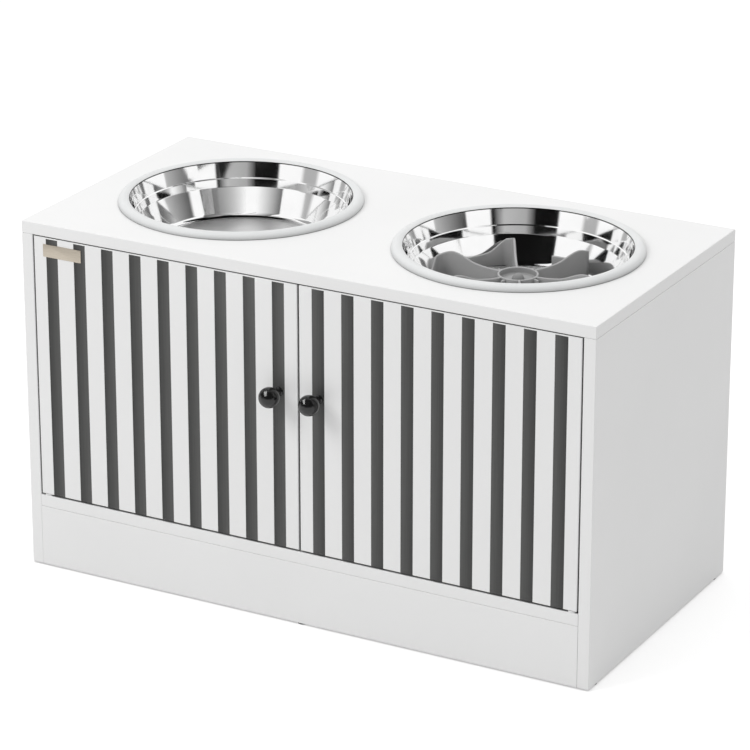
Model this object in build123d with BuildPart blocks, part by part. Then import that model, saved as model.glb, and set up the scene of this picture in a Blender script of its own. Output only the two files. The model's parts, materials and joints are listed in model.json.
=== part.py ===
from build123d import *
import os
from math import asin, degrees, radians, sin

# Raised feeding cabinet: two lift-out bowls over a storage space with two hinged doors.
#
# Millimetres, +Z up, front towards -Y. The origin is on the floor, at the middle of the whole
# object's footprint, knobs included.

# Overall box, without the knobs
WIDTH = 597.0
DEPTH = 299.0
HEIGHT = 350.0

# Boards
BOARD = 12.0
EDGE_ROUND = 0.8
BASE_HEIGHT = 62.0
BACK_BOARD = 3.0
BACK_INSET = 8.0
GROOVE_DEPTH = 5.0
GROOVE_SPARE = 0.5

# Floor glides
GLIDE_PROUD = 1.2
GLIDE_RADIUS = 5.5
GLIDE_NAIL_RADIUS = 1.0
GLIDE_NAIL_LENGTH = 10.0
GLIDE_FROM_CORNER = 18.0

# Doors
DOOR_SIDE_GAP = 1.5
DOOR_CENTRE_GAP = 2.0
DOOR_TOP_GAP = 1.0
DOOR_BOTTOM_GAP = 1.8
STRIPE_COUNT = 9
STRIPE_WIDTH = 12.75
STRIPE_END_SLAT = 13.4
STRIPE_TOP_MARGIN = 1.0
STRIPE_GROOVE = 1.2
STRIP_THICKNESS = 1.0

# Door pivots: pins in the door, bushings in the top and bottom panels
PIN_RADIUS = 2.0
PIN_FROM_EDGE = 6.0
PIN_FROM_FRONT = 4.5
PIN_IN_DOOR = 14.0
PIN_IN_BUSHING = 6.5
PIN_CHAMFER = 0.4
PIN_PLAY = 0.05
BUSHING_RADIUS = 3.5
BUSHING_DEPTH = 7.5
BUSHING_FLANGE_RADIUS = 4.3
BUSHING_FLANGE = 1.5

# Knobs
KNOB_RADIUS = 9.85
KNOB_REACH = 17.6
KNOB_HEIGHT = 230.0
KNOB_FOOT_RADIUS = 4.4
KNOB_FOOT = 0.8
KNOB_FOOT_TAPER = 1.2
KNOB_NECK_RADIUS = 3.5
KNOB_SCREW_RADIUS = 2.0
KNOB_SCREW_IN_KNOB = 11.0
KNOB_BORE_SPARE = 1.0
KNOB_SCREW_HEAD_RADIUS = 4.0
KNOB_SCREW_HEAD = 2.4
KNOB_HOLE_PLAY = 0.25

# Double magnetic catch under the top panel
CATCH_WIDTH = 40.0
CATCH_FLANGE_WIDTH = 60.0
CATCH_FLANGE = 2.5
CATCH_DEPTH = 13.0
CATCH_HEIGHT = 12.0
CATCH_SCREW_SPACING = 50.0
MAGNET_WIDTH = 12.0
MAGNET_HEIGHT = 5.0
MAGNET_DEPTH = 8.0
MAGNET_PROUD = 0.3
MAGNET_DROP = 7.0
STRIKE_WIDTH = 16.0
STRIKE_HEIGHT = 11.0
STRIKE_THICKNESS = 1.2
STRIKE_GAP = 0.3
STRIKE_FROM_DOOR_EDGE = 1.0
SMALL_SCREW_RADIUS = 1.4
SMALL_SCREW_HEAD_RADIUS = 2.8
SMALL_SCREW_LENGTH = 9.0

# Cam fittings and dowels
CAM_RADIUS = 6.0
CAM_DEPTH = 9.5
CAM_SETBACK = 24.0
CAM_SLOT_WIDTH = 1.4
CAM_SLOT_END = 1.5
CAM_SLOT_DEPTH = 1.5
STUD_RADIUS = 3.0
STUD_DEPTH = 9.0
BOLT_RADIUS = 2.2
BOLT_HOLE_RADIUS = 2.6
BOLT_PAST_CAM_CENTRE = 1.0
DOWEL_RADIUS = 3.0
DOWEL_SHORT_END = 9.0
DOWEL_LONG_END = 18.0
DOWEL_HOLE_SPARE = 0.5
CAM_FROM_BOARD_END = 54.5
DOWEL_FROM_BOARD_END = 24.5
BASE_DOWEL_OFFSET = 18.0

# Bowls; heights are taken from the top face of the top panel
BOWL_SPACING = 295.0
BOWL_WALL = 1.0
MOUTH_RADIUS = 104.5
LIP_HEIGHT = 5.0
LIP_RADIUS = 109.5
LIP_ROUND = 1.5
SHOULDER_RADIUS = 103.0
SHOULDER_DROP = 10.0
WAIST_RADIUS = 101.5
WAIST_DROP = 20.0
FLOOR_RADIUS = 88.0
FLOOR_ROUND = 22.0
BOWL_DROP = 46.0

# Soft rings round the bowl rims
RING_RADIUS = 117.2
RING_CROWN_RADIUS = 111.4
RING_CROWN_HEIGHT = 6.5
RING_LIP_RADIUS = 106.6
RING_SKIRT = 6.0
RING_PLAY = 0.3
CUTOUT_RADIUS = 107.5

# Slow feeder insert; heights are taken from the top face of the top panel
BLADE_COUNT = 6
BLADE_THICKNESS = 2.4
BEND_RADIUS = 9.0
HOOK_RADIUS = 82.0
HOOK_SWEEP = 34.0
HUB_RADIUS = 19.2
HUB_WALL = 2.2
HUB_DROP = 23.0
HUB_FLOOR_DROP = 6.0
HUB_FLOOR = 2.0
RISE_RADIUS = 43.0
RISE_DROP = 20.8
RISE_START = (1, 0.02)
CREST_RADIUS = 66.5
CREST_DROP = 12.8
TIP_RADIUS = 84.0
TIP_DROP = 17.5
TIP_FALL = (1, -1)
HOOK_TOP_DROP = 12.0
BEND_END_DROP = 19.0
HOOK_LOW_REACH = 23.0
HOOK_LOW_DROP = 29.5
HOOK_END_DROP = 32.0
FOOT_SETBACK = 12.0
FOOT_RISE = 2.5
INSERT_CLEARANCE = 0.3
CUP_NUB_RADIUS = 5.85
CUP_NECK_RADIUS = 4.0
CUP_NECK_PLAY = 0.2
CUP_RADIUS = 15.5
CUP_WALL = 1.6
CUP_HEIGHT = 7.0

# Planes and levels that follow from the sizes above
knob_tip = KNOB_REACH + KNOB_RADIUS
centre_y = knob_tip / 2
front = centre_y - DEPTH / 2
back = centre_y + DEPTH / 2
half_width = WIDTH / 2
inner_half = half_width - BOARD
board_middle = half_width - BOARD / 2
top_underside = HEIGHT - BOARD
floor_top = BASE_HEIGHT + BOARD
floor_middle = BASE_HEIGHT + BOARD / 2
base_middle = (GLIDE_PROUD + BASE_HEIGHT) / 2
back_board_y = back - BACK_INSET - BACK_BOARD / 2
groove_hold = GROOVE_DEPTH - GROOVE_SPARE

door_width = inner_half - DOOR_SIDE_GAP - DOOR_CENTRE_GAP / 2
door_centre = DOOR_CENTRE_GAP / 2 + door_width / 2
door_bottom = floor_top + DOOR_BOTTOM_GAP
door_top = top_underside - DOOR_TOP_GAP
door_back = front + BOARD
stripe_pitch = (door_width - 2 * STRIPE_END_SLAT - STRIPE_WIDTH) / (STRIPE_COUNT - 1)
stripe_top = door_top - STRIPE_TOP_MARGIN
strip_face = front + STRIPE_GROOVE - STRIP_THICKNESS
pin_x = inner_half - DOOR_SIDE_GAP - PIN_FROM_EDGE
pin_y = front + PIN_FROM_FRONT
knob_x = DOOR_CENTRE_GAP / 2 + STRIPE_END_SLAT + STRIPE_WIDTH / 2

strike_x = DOOR_CENTRE_GAP / 2 + STRIKE_FROM_DOOR_EDGE + STRIKE_WIDTH / 2
magnet_z = top_underside - MAGNET_DROP
magnet_face = door_back + STRIKE_THICKNESS + STRIKE_GAP
catch_front = magnet_face + MAGNET_PROUD

bowl_x = BOWL_SPACING / 2
SIDES = (("left", -1), ("right", 1))
DOWN = (0, 0, -1)


def joint_plane(centre, into, mouth):
    """A plane on the face between two boards.

    Its normal points into the board that holds the cam, and its X axis towards the face
    that the cam is put in from.
    """
    return Plane(origin=centre, x_dir=mouth, z_dir=into)


def top_joints(from_end):
    """Joints between the side panels and the top panel, this far from the boards' ends."""
    return [
        joint_plane((side * board_middle, y, top_underside), DOWN, (-side, 0, 0))
        for _, side in SIDES
        for y in (front + from_end, back - from_end)
    ]


def floor_joints(from_end):
    """Joints between the bottom panel and the side panels, this far from the boards' ends."""
    return [
        joint_plane((side * inner_half, y, floor_middle), (-side, 0, 0), DOWN)
        for _, side in SIDES
        for y in (front + from_end, back - from_end)
    ]


def base_joints(y, into_cabinet, height_offsets):
    """Joints between a base board and the side panels, at heights either side of its middle."""
    return [
        joint_plane((side * inner_half, y, base_middle + offset), (-side, 0, 0), (0, into_cabinet, 0))
        for _, side in SIDES
        for offset in height_offsets
    ]


top_cams = top_joints(CAM_FROM_BOARD_END)
top_dowels = top_joints(DOWEL_FROM_BOARD_END)
floor_cams = floor_joints(CAM_FROM_BOARD_END)
floor_dowels = floor_joints(DOWEL_FROM_BOARD_END)
kick_y = front + BOARD / 2
rail_y = back - BOARD / 2
kick_cams = base_joints(kick_y, 1, [0])
rail_cams = base_joints(rail_y, -1, [0])
kick_dowels = base_joints(kick_y, 1, [-BASE_DOWEL_OFFSET, BASE_DOWEL_OFFSET])
rail_dowels = base_joints(rail_y, -1, [-BASE_DOWEL_OFFSET, BASE_DOWEL_OFFSET])
all_cams = top_cams + floor_cams + kick_cams + rail_cams
all_dowels = top_dowels + floor_dowels + kick_dowels + rail_dowels

BEHIND = (Align.CENTER, Align.CENTER, Align.MAX)
AHEAD = (Align.CENTER, Align.CENTER, Align.MIN)


def on_side(joints, side):
    """The joints on one side of the cabinet."""
    return [joint for joint in joints if joint.origin.X * side > 0]


def cut_stud_board(cams, dowels):
    """Blind holes in the board that the cam bolts are screwed into."""
    with Locations(*cams):
        Cylinder(STUD_RADIUS, STUD_DEPTH, align=BEHIND, mode=Mode.SUBTRACT)
    with Locations(*dowels):
        Cylinder(DOWEL_RADIUS, DOWEL_SHORT_END + DOWEL_HOLE_SPARE, align=BEHIND, mode=Mode.SUBTRACT)


def cut_cam_board(cams, dowels):
    """Cam pockets, bolt holes and dowel holes in the board that is pulled tight."""
    with Locations(*cams):
        Cylinder(BOLT_HOLE_RADIUS, CAM_SETBACK, align=AHEAD, mode=Mode.SUBTRACT)
    with Locations(*[cam_plane(joint) for joint in cams]):
        Cylinder(CAM_RADIUS, CAM_DEPTH, align=BEHIND, mode=Mode.SUBTRACT)
    with Locations(*dowels):
        Cylinder(DOWEL_RADIUS, DOWEL_LONG_END + DOWEL_HOLE_SPARE, align=AHEAD, mode=Mode.SUBTRACT)


def cam_plane(joint):
    """The face that a joint's cam is put in from, with the normal pointing out of it."""
    face_centre = joint.from_local_coords((BOARD / 2, 0, CAM_SETBACK))
    return Plane(origin=face_centre, x_dir=joint.z_dir, z_dir=joint.x_dir)


def save(builder, name):
    """Label a finished piece and write its file."""
    builder.part.label = name
    export_step(builder.part, f"parts/{name}.step")


os.makedirs("parts", exist_ok=True)

# ---- Cabinet boards ----

with BuildPart() as top_panel:
    with BuildSketch(Plane.XY.offset(top_underside)):
        with Locations((0, centre_y)):
            Rectangle(WIDTH, DEPTH)
        with Locations((-bowl_x, centre_y), (bowl_x, centre_y)):
            Circle(CUTOUT_RADIUS, mode=Mode.SUBTRACT)
    extrude(amount=BOARD)
    outer_edges = top_panel.edges().filter_by(GeomType.LINE)
    fillet(outer_edges, EDGE_ROUND)
    with Locations((0, back_board_y, top_underside)):
        Box(2 * (inner_half + GROOVE_DEPTH), BACK_BOARD, GROOVE_DEPTH, align=AHEAD, mode=Mode.SUBTRACT)
    with Locations((-pin_x, pin_y, top_underside), (pin_x, pin_y, top_underside)):
        Cylinder(BUSHING_RADIUS, BUSHING_DEPTH, align=AHEAD, mode=Mode.SUBTRACT)
    catch_screw_y = catch_front + CATCH_DEPTH / 2
    with Locations(
        (-CATCH_SCREW_SPACING / 2, catch_screw_y, top_underside),
        (CATCH_SCREW_SPACING / 2, catch_screw_y, top_underside),
    ):
        Cylinder(SMALL_SCREW_RADIUS, SMALL_SCREW_LENGTH - CATCH_FLANGE, align=AHEAD, mode=Mode.SUBTRACT)
    cut_stud_board(top_cams, top_dowels)
save(top_panel, "top_panel")

for side_name, side in SIDES:
    with BuildPart() as side_panel:
        with BuildSketch(Plane.XY.offset(GLIDE_PROUD)):
            with Locations((side * board_middle, centre_y)):
                Rectangle(BOARD, DEPTH)
        extrude(amount=top_underside - GLIDE_PROUD)
        fillet(side_panel.edges(), EDGE_ROUND)
        with Locations((side * inner_half, back_board_y, GLIDE_PROUD)):
            Box(2 * GROOVE_DEPTH, BACK_BOARD, top_underside - GLIDE_PROUD, align=AHEAD, mode=Mode.SUBTRACT)
        cut_cam_board(on_side(top_cams, side), on_side(top_dowels, side))
        cut_stud_board(
            on_side(floor_cams + kick_cams + rail_cams, side),
            on_side(floor_dowels + kick_dowels + rail_dowels, side),
        )
        with Locations(
            (side * board_middle, front + GLIDE_FROM_CORNER, GLIDE_PROUD),
            (side * board_middle, back - GLIDE_FROM_CORNER, GLIDE_PROUD),
        ):
            Cylinder(GLIDE_NAIL_RADIUS, GLIDE_NAIL_LENGTH, align=AHEAD, mode=Mode.SUBTRACT)
    save(side_panel, f"{side_name}_side_panel")

with BuildPart() as bottom_panel:
    with BuildSketch(Plane.XY.offset(BASE_HEIGHT)):
        with Locations((0, centre_y)):
            Rectangle(2 * inner_half, DEPTH)
    extrude(amount=BOARD)
    fillet(bottom_panel.edges().filter_by(Axis.X), EDGE_ROUND)
    with Locations((0, back_board_y, floor_top)):
        Box(2 * inner_half, BACK_BOARD, GROOVE_DEPTH, align=BEHIND, mode=Mode.SUBTRACT)
    with Locations((-pin_x, pin_y, floor_top), (pin_x, pin_y, floor_top)):
        Cylinder(BUSHING_RADIUS, BUSHING_DEPTH, align=BEHIND, mode=Mode.SUBTRACT)
    cut_cam_board(floor_cams, floor_dowels)
save(bottom_panel, "bottom_panel")

with BuildPart() as back_panel:
    with Locations((0, back_board_y, floor_top - groove_hold)):
        Box(
            2 * (inner_half + groove_hold),
            BACK_BOARD,
            top_underside - floor_top + 2 * groove_hold,
            align=AHEAD,
        )
    for _, side in SIDES:
        with Locations((side * (inner_half + groove_hold), back_board_y, floor_top)):
            Box(2 * groove_hold, BACK_BOARD, groove_hold, align=BEHIND, mode=Mode.SUBTRACT)
save(back_panel, "back_panel")

for name, y, cams, dowels in (
    ("kickboard", kick_y, kick_cams, kick_dowels),
    ("rear_rail", rail_y, rail_cams, rail_dowels),
):
    with BuildPart() as base_board:
        with BuildSketch(Plane.XY.offset(GLIDE_PROUD)):
            with Locations((0, y)):
                Rectangle(2 * inner_half, BOARD)
        extrude(amount=BASE_HEIGHT - GLIDE_PROUD)
        fillet(base_board.edges().filter_by(Axis.X), EDGE_ROUND)
        cut_cam_board(cams, dowels)
        with Locations((0, y, GLIDE_PROUD)):
            Cylinder(GLIDE_NAIL_RADIUS, GLIDE_NAIL_LENGTH, align=AHEAD, mode=Mode.SUBTRACT)
    save(base_board, name)

glide_spots = [
    (side * board_middle, y)
    for _, side in SIDES
    for y in (front + GLIDE_FROM_CORNER, back - GLIDE_FROM_CORNER)
] + [(0, kick_y), (0, rail_y)]
with BuildPart() as floor_glides:
    with BuildSketch():
        with Locations(*glide_spots):
            Circle(GLIDE_RADIUS)
    extrude(amount=GLIDE_PROUD)
    with Locations(*[(x, y, GLIDE_PROUD) for x, y in glide_spots]):
        Cylinder(GLIDE_NAIL_RADIUS, GLIDE_NAIL_LENGTH, align=AHEAD)
save(floor_glides, "floor_glides")

# ---- Assembly fittings ----

with BuildPart() as cam_locks:
    with Locations(*[cam_plane(joint) for joint in all_cams]):
        Cylinder(CAM_RADIUS, CAM_DEPTH, align=BEHIND)
        Box(2 * (CAM_RADIUS - CAM_SLOT_END), CAM_SLOT_WIDTH, 2 * CAM_SLOT_DEPTH, mode=Mode.SUBTRACT)
    with Locations(*all_cams):
        Cylinder(BOLT_HOLE_RADIUS, CAM_SETBACK + BOLT_HOLE_RADIUS, align=AHEAD, mode=Mode.SUBTRACT)
save(cam_locks, "cam_locks")

with BuildPart() as cam_bolts:
    with Locations(*all_cams):
        Cylinder(STUD_RADIUS, STUD_DEPTH, align=BEHIND)
        Cylinder(BOLT_RADIUS, CAM_SETBACK + BOLT_PAST_CAM_CENTRE, align=AHEAD)
save(cam_bolts, "cam_bolts")

with BuildPart() as dowels:
    with Locations(*all_dowels):
        Cylinder(DOWEL_RADIUS, DOWEL_SHORT_END, align=BEHIND)
        Cylinder(DOWEL_RADIUS, DOWEL_LONG_END, align=AHEAD)
save(dowels, "dowels")

# ---- Doors ----

for side_name, side in SIDES:
    stripe_centres = [side * (knob_x + index * stripe_pitch) for index in range(STRIPE_COUNT)]

    with BuildPart() as door:
        with BuildSketch(Plane.XY.offset(door_bottom)):
            with Locations((side * door_centre, front + BOARD / 2)):
                Rectangle(door_width, BOARD)
        extrude(amount=door_top - door_bottom)
        front_face = door.faces().sort_by(Axis.Y)[0]
        fillet(front_face.edges(), EDGE_ROUND)
        with Locations(*[(x, front, door_bottom) for x in stripe_centres]):
            Box(STRIPE_WIDTH, 2 * STRIPE_GROOVE, stripe_top - door_bottom, align=AHEAD, mode=Mode.SUBTRACT)
        with Locations((side * pin_x, pin_y, door_bottom)):
            Cylinder(PIN_RADIUS, PIN_IN_DOOR, align=AHEAD, mode=Mode.SUBTRACT)
        with Locations((side * pin_x, pin_y, door_top)):
            Cylinder(PIN_RADIUS, PIN_IN_DOOR, align=BEHIND, mode=Mode.SUBTRACT)
        with Locations(Plane(origin=(side * knob_x, front, KNOB_HEIGHT), z_dir=(0, 1, 0))):
            Cylinder(KNOB_SCREW_RADIUS + KNOB_HOLE_PLAY, BOARD, align=AHEAD, mode=Mode.SUBTRACT)
        with Locations(Plane(origin=(side * strike_x, door_back, magnet_z), z_dir=(0, 1, 0))):
            Cylinder(
                SMALL_SCREW_RADIUS,
                SMALL_SCREW_LENGTH - STRIKE_THICKNESS,
                align=BEHIND,
                mode=Mode.SUBTRACT,
            )
    save(door, f"{side_name}_door")

    with BuildPart() as strips:
        with Locations(*[(x, strip_face + STRIP_THICKNESS / 2, door_bottom) for x in stripe_centres]):
            Box(STRIPE_WIDTH, STRIP_THICKNESS, stripe_top - door_bottom, align=AHEAD)
        with Locations(Plane(origin=(side * knob_x, front, KNOB_HEIGHT), z_dir=(0, 1, 0))):
            Cylinder(KNOB_SCREW_RADIUS + KNOB_HOLE_PLAY, BOARD, align=AHEAD, mode=Mode.SUBTRACT)
    save(strips, f"{side_name}_door_strips")

    knob_section = Plane(origin=(side * knob_x, strip_face, KNOB_HEIGHT), x_dir=(0, -1, 0), z_dir=(1, 0, 0))
    knob_axis = Axis(knob_section.origin, (0, -1, 0))
    ball_centre = KNOB_REACH + strip_face - front
    neck_end = ball_centre - (KNOB_RADIUS**2 - KNOB_NECK_RADIUS**2) ** 0.5
    bore_end = KNOB_SCREW_IN_KNOB + KNOB_BORE_SPARE
    with BuildPart() as knob:
        with BuildSketch(knob_section):
            with BuildLine():
                Polyline(
                    (bore_end, 0),
                    (bore_end, KNOB_SCREW_RADIUS),
                    (0, KNOB_SCREW_RADIUS),
                    (0, KNOB_FOOT_RADIUS),
                    (KNOB_FOOT, KNOB_FOOT_RADIUS),
                    (KNOB_FOOT + KNOB_FOOT_TAPER, KNOB_NECK_RADIUS),
                    (neck_end, KNOB_NECK_RADIUS),
                )
                ThreePointArc(
                    (neck_end, KNOB_NECK_RADIUS),
                    (ball_centre, KNOB_RADIUS),
                    (ball_centre + KNOB_RADIUS, 0),
                )
                Line((ball_centre + KNOB_RADIUS, 0), (bore_end, 0))
            make_face()
        revolve(axis=knob_axis)
    save(knob, f"{side_name}_knob")

    screw_base = Plane(origin=(side * knob_x, door_back, KNOB_HEIGHT), z_dir=(0, 1, 0))
    with BuildPart() as knob_screw:
        with Locations(screw_base):
            Cylinder(KNOB_SCREW_HEAD_RADIUS, KNOB_SCREW_HEAD, align=AHEAD)
            Cylinder(KNOB_SCREW_RADIUS, door_back - strip_face + KNOB_SCREW_IN_KNOB, align=BEHIND)
        fillet(knob_screw.edges().sort_by(Axis.Y)[-1], KNOB_SCREW_HEAD / 2)
    save(knob_screw, f"{side_name}_knob_screw")

    with BuildPart() as pivot_pins:
        with Locations((side * pin_x, pin_y, floor_top - PIN_IN_BUSHING)):
            Cylinder(PIN_RADIUS, PIN_IN_BUSHING + DOOR_BOTTOM_GAP + PIN_IN_DOOR, align=AHEAD)
        with Locations((side * pin_x, pin_y, top_underside + PIN_IN_BUSHING)):
            Cylinder(PIN_RADIUS, PIN_IN_BUSHING + DOOR_TOP_GAP + PIN_IN_DOOR, align=BEHIND)
        chamfer(pivot_pins.edges().filter_by(GeomType.CIRCLE), PIN_CHAMFER)
    save(pivot_pins, f"{side_name}_pivot_pins")

    with BuildPart() as strike_plate:
        with Locations((side * strike_x, door_back, magnet_z)):
            Box(STRIKE_WIDTH, STRIKE_THICKNESS, STRIKE_HEIGHT, align=(Align.CENTER, Align.MIN, Align.CENTER))
        with Locations(Plane(origin=(side * strike_x, door_back, magnet_z), z_dir=(0, 1, 0))):
            Cone(
                SMALL_SCREW_RADIUS,
                SMALL_SCREW_HEAD_RADIUS,
                STRIKE_THICKNESS,
                align=AHEAD,
                mode=Mode.SUBTRACT,
            )
    save(strike_plate, f"{side_name}_strike_plate")

    with BuildPart() as strike_screw:
        with Locations(Plane(origin=(side * strike_x, door_back, magnet_z), z_dir=(0, 1, 0))):
            Cone(SMALL_SCREW_RADIUS, SMALL_SCREW_HEAD_RADIUS, STRIKE_THICKNESS, align=AHEAD)
            Cylinder(SMALL_SCREW_RADIUS, SMALL_SCREW_LENGTH - STRIKE_THICKNESS, align=BEHIND)
    save(strike_screw, f"{side_name}_strike_screw")

with BuildPart() as pivot_bushings:
    for _, side in SIDES:
        with Locations((side * pin_x, pin_y, top_underside)):
            Cylinder(BUSHING_RADIUS, BUSHING_DEPTH, align=AHEAD)
            Cylinder(PIN_RADIUS + PIN_PLAY, PIN_IN_BUSHING + PIN_PLAY, align=AHEAD, mode=Mode.SUBTRACT)
        with Locations((side * pin_x, pin_y, floor_top)):
            Cylinder(BUSHING_RADIUS, BUSHING_DEPTH, align=BEHIND)
            Cylinder(BUSHING_FLANGE_RADIUS, BUSHING_FLANGE, align=AHEAD)
            Cylinder(PIN_RADIUS + PIN_PLAY, BUSHING_FLANGE, align=AHEAD, mode=Mode.SUBTRACT)
            Cylinder(PIN_RADIUS + PIN_PLAY, PIN_IN_BUSHING + PIN_PLAY, align=BEHIND, mode=Mode.SUBTRACT)
save(pivot_bushings, "pivot_bushings")

# ---- Magnetic catch ----

FRONT_UP = (Align.CENTER, Align.MIN, Align.MAX)
magnet_spots = [(side * strike_x, magnet_face, magnet_z + MAGNET_HEIGHT / 2) for _, side in SIDES]
catch_screws_at = [(side * CATCH_SCREW_SPACING / 2, catch_screw_y, top_underside) for _, side in SIDES]
with BuildPart() as magnetic_catch:
    with Locations((0, catch_front, top_underside)):
        Box(CATCH_WIDTH, CATCH_DEPTH, CATCH_HEIGHT, align=FRONT_UP)
    fillet(magnetic_catch.edges().group_by(Axis.Z)[0], EDGE_ROUND)
    with Locations((0, catch_front, top_underside)):
        Box(CATCH_FLANGE_WIDTH, CATCH_DEPTH, CATCH_FLANGE, align=FRONT_UP)
    with Locations(*magnet_spots):
        Box(MAGNET_WIDTH, MAGNET_DEPTH, MAGNET_HEIGHT, align=FRONT_UP, mode=Mode.SUBTRACT)
    with Locations(*catch_screws_at):
        Cone(
            SMALL_SCREW_HEAD_RADIUS,
            SMALL_SCREW_RADIUS,
            CATCH_FLANGE,
            align=BEHIND,
            mode=Mode.SUBTRACT,
        )
save(magnetic_catch, "magnetic_catch")

with BuildPart() as catch_magnets:
    with Locations(*magnet_spots):
        Box(MAGNET_WIDTH, MAGNET_DEPTH, MAGNET_HEIGHT, align=FRONT_UP)
save(catch_magnets, "catch_magnets")

with BuildPart() as catch_screws:
    with Locations(*catch_screws_at):
        Cone(SMALL_SCREW_HEAD_RADIUS, SMALL_SCREW_RADIUS, CATCH_FLANGE, align=BEHIND)
        Cylinder(SMALL_SCREW_RADIUS, SMALL_SCREW_LENGTH - CATCH_FLANGE, align=AHEAD)
save(catch_screws, "catch_screws")

# ---- Bowls and their rings ----

for side_name, side in SIDES:
    section = Plane(origin=(side * bowl_x, centre_y, HEIGHT), x_dir=(1, 0, 0), z_dir=(0, -1, 0))
    bowl_axis = Axis(section.origin, (0, 0, 1))

    with BuildPart() as bowl:
        with BuildSketch(section):
            with BuildLine():
                inside = FilletPolyline(
                    (0, -BOWL_DROP),
                    (FLOOR_RADIUS, -BOWL_DROP),
                    (WAIST_RADIUS, -WAIST_DROP),
                    (SHOULDER_RADIUS, -SHOULDER_DROP),
                    (MOUTH_RADIUS, -SHOULDER_DROP + BOWL_WALL),
                    (MOUTH_RADIUS, LIP_HEIGHT),
                    (LIP_RADIUS, LIP_HEIGHT),
                    radius=[FLOOR_ROUND, BOWL_WALL, BOWL_WALL / 2, BOWL_WALL / 2, LIP_ROUND],
                )
                offset(inside, amount=BOWL_WALL, side=Side.RIGHT)
            make_face()
        revolve(axis=bowl_axis)
    save(bowl, f"{side_name}_bowl")

    wall_outside = MOUTH_RADIUS + BOWL_WALL
    lip_underside = LIP_HEIGHT - BOWL_WALL
    under_lip_round = LIP_ROUND - BOWL_WALL
    crown_round = RING_RADIUS - RING_CROWN_RADIUS
    skirt_radius = CUTOUT_RADIUS - RING_PLAY
    with BuildPart() as ring:
        with BuildSketch(section):
            with BuildLine():
                Polyline(
                    (RING_LIP_RADIUS, LIP_HEIGHT),
                    (LIP_RADIUS, LIP_HEIGHT),
                    (LIP_RADIUS, lip_underside),
                    (wall_outside + under_lip_round, lip_underside),
                    (wall_outside, lip_underside - under_lip_round),
                    (wall_outside, -RING_SKIRT),
                    (skirt_radius, -RING_SKIRT),
                    (skirt_radius, 0),
                    (RING_RADIUS, 0),
                    (RING_RADIUS, RING_CROWN_HEIGHT - crown_round),
                )
                RadiusArc(
                    (RING_RADIUS, RING_CROWN_HEIGHT - crown_round),
                    (RING_CROWN_RADIUS, RING_CROWN_HEIGHT),
                    -crown_round,
                )
                TangentArc(
                    (RING_CROWN_RADIUS, RING_CROWN_HEIGHT),
                    (RING_LIP_RADIUS, LIP_HEIGHT),
                    tangent=(-1, 0),
                )
            make_face()
        revolve(axis=bowl_axis)
    save(ring, f"{side_name}_bowl_ring")

# ---- Slow feeder insert, in the right bowl ----

section = Plane(origin=(bowl_x, centre_y, HEIGHT), x_dir=(1, 0, 0), z_dir=(0, -1, 0))
bowl_axis = Axis(section.origin, (0, 0, 1))
insert_base = -BOWL_DROP + INSERT_CLEARANCE
hub_inside = HUB_RADIUS - HUB_WALL
hub_floor_top = -HUB_DROP - HUB_FLOOR_DROP

# A blade runs straight out, bends, and follows the bowl's wall; the hub's axis is at the origin
bend_reach = HOOK_RADIUS - BEND_RADIUS
straight_end = (bend_reach**2 - BEND_RADIUS**2) ** 0.5
bend_end = degrees(asin(BEND_RADIUS / bend_reach))
hook_reach = (HOOK_RADIUS + BLADE_THICKNESS) * sin(radians(HOOK_SWEEP))
with BuildPart() as blade:
    with BuildSketch():
        with BuildLine():
            spine = Line((HUB_RADIUS - HUB_WALL / 2, 0), (straight_end, 0))
            bend = JernArc(spine @ 1, spine % 1, BEND_RADIUS, 90 + bend_end)
            JernArc(bend @ 1, bend % 1, HOOK_RADIUS, HOOK_SWEEP - bend_end)
        trace(line_width=BLADE_THICKNESS)
    extrude(amount=BOWL_DROP)
    with BuildSketch(Plane(origin=(0, 0, BOWL_DROP), x_dir=(0, 1, 0), z_dir=(1, 0, 0))):
        with BuildLine():
            Spline(
                (-BLADE_THICKNESS, -HOOK_TOP_DROP),
                (BEND_RADIUS, -BEND_END_DROP),
                (HOOK_LOW_REACH, -HOOK_LOW_DROP),
                (hook_reach, -HOOK_END_DROP),
                tangents=[(1, 0), (1, 0)],
            )
            Polyline(
                (hook_reach, -HOOK_END_DROP),
                (hook_reach, -BOWL_DROP),
                (-BLADE_THICKNESS, -BOWL_DROP),
                (-BLADE_THICKNESS, -HOOK_TOP_DROP),
            )
        make_face()
    extrude(amount=HOOK_RADIUS + BLADE_THICKNESS, mode=Mode.INTERSECT)

with BuildPart() as slow_feeder:
    with Locations((bowl_x, centre_y, HEIGHT - BOWL_DROP)):
        with PolarLocations(0, BLADE_COUNT):
            add(blade.part)
    with BuildSketch(section):
        with BuildLine():
            Spline(
                (hub_inside, -HUB_DROP),
                (RISE_RADIUS, -RISE_DROP),
                (CREST_RADIUS, -CREST_DROP),
                (TIP_RADIUS, -TIP_DROP),
                tangents=[RISE_START, TIP_FALL],
            )
            Polyline(
                (TIP_RADIUS, -TIP_DROP),
                (TIP_RADIUS, insert_base + FOOT_RISE),
                (TIP_RADIUS - FOOT_SETBACK, insert_base),
                (hub_inside, insert_base),
                (hub_inside, -HUB_DROP),
            )
        make_face()
    revolve(axis=bowl_axis, mode=Mode.INTERSECT)
    with BuildSketch(section):
        with BuildLine():
            Polyline(
                (CUP_NECK_RADIUS + CUP_NECK_PLAY, hub_floor_top - HUB_FLOOR),
                (hub_inside, hub_floor_top - HUB_FLOOR),
                (hub_inside, insert_base),
                (HUB_RADIUS, insert_base),
                (HUB_RADIUS, -HUB_DROP),
                (hub_inside, -HUB_DROP),
                (hub_inside, hub_floor_top),
                (CUP_NECK_RADIUS + CUP_NECK_PLAY, hub_floor_top),
                close=True,
            )
        make_face()
    revolve(axis=bowl_axis)
save(slow_feeder, "slow_feeder_insert")

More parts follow.
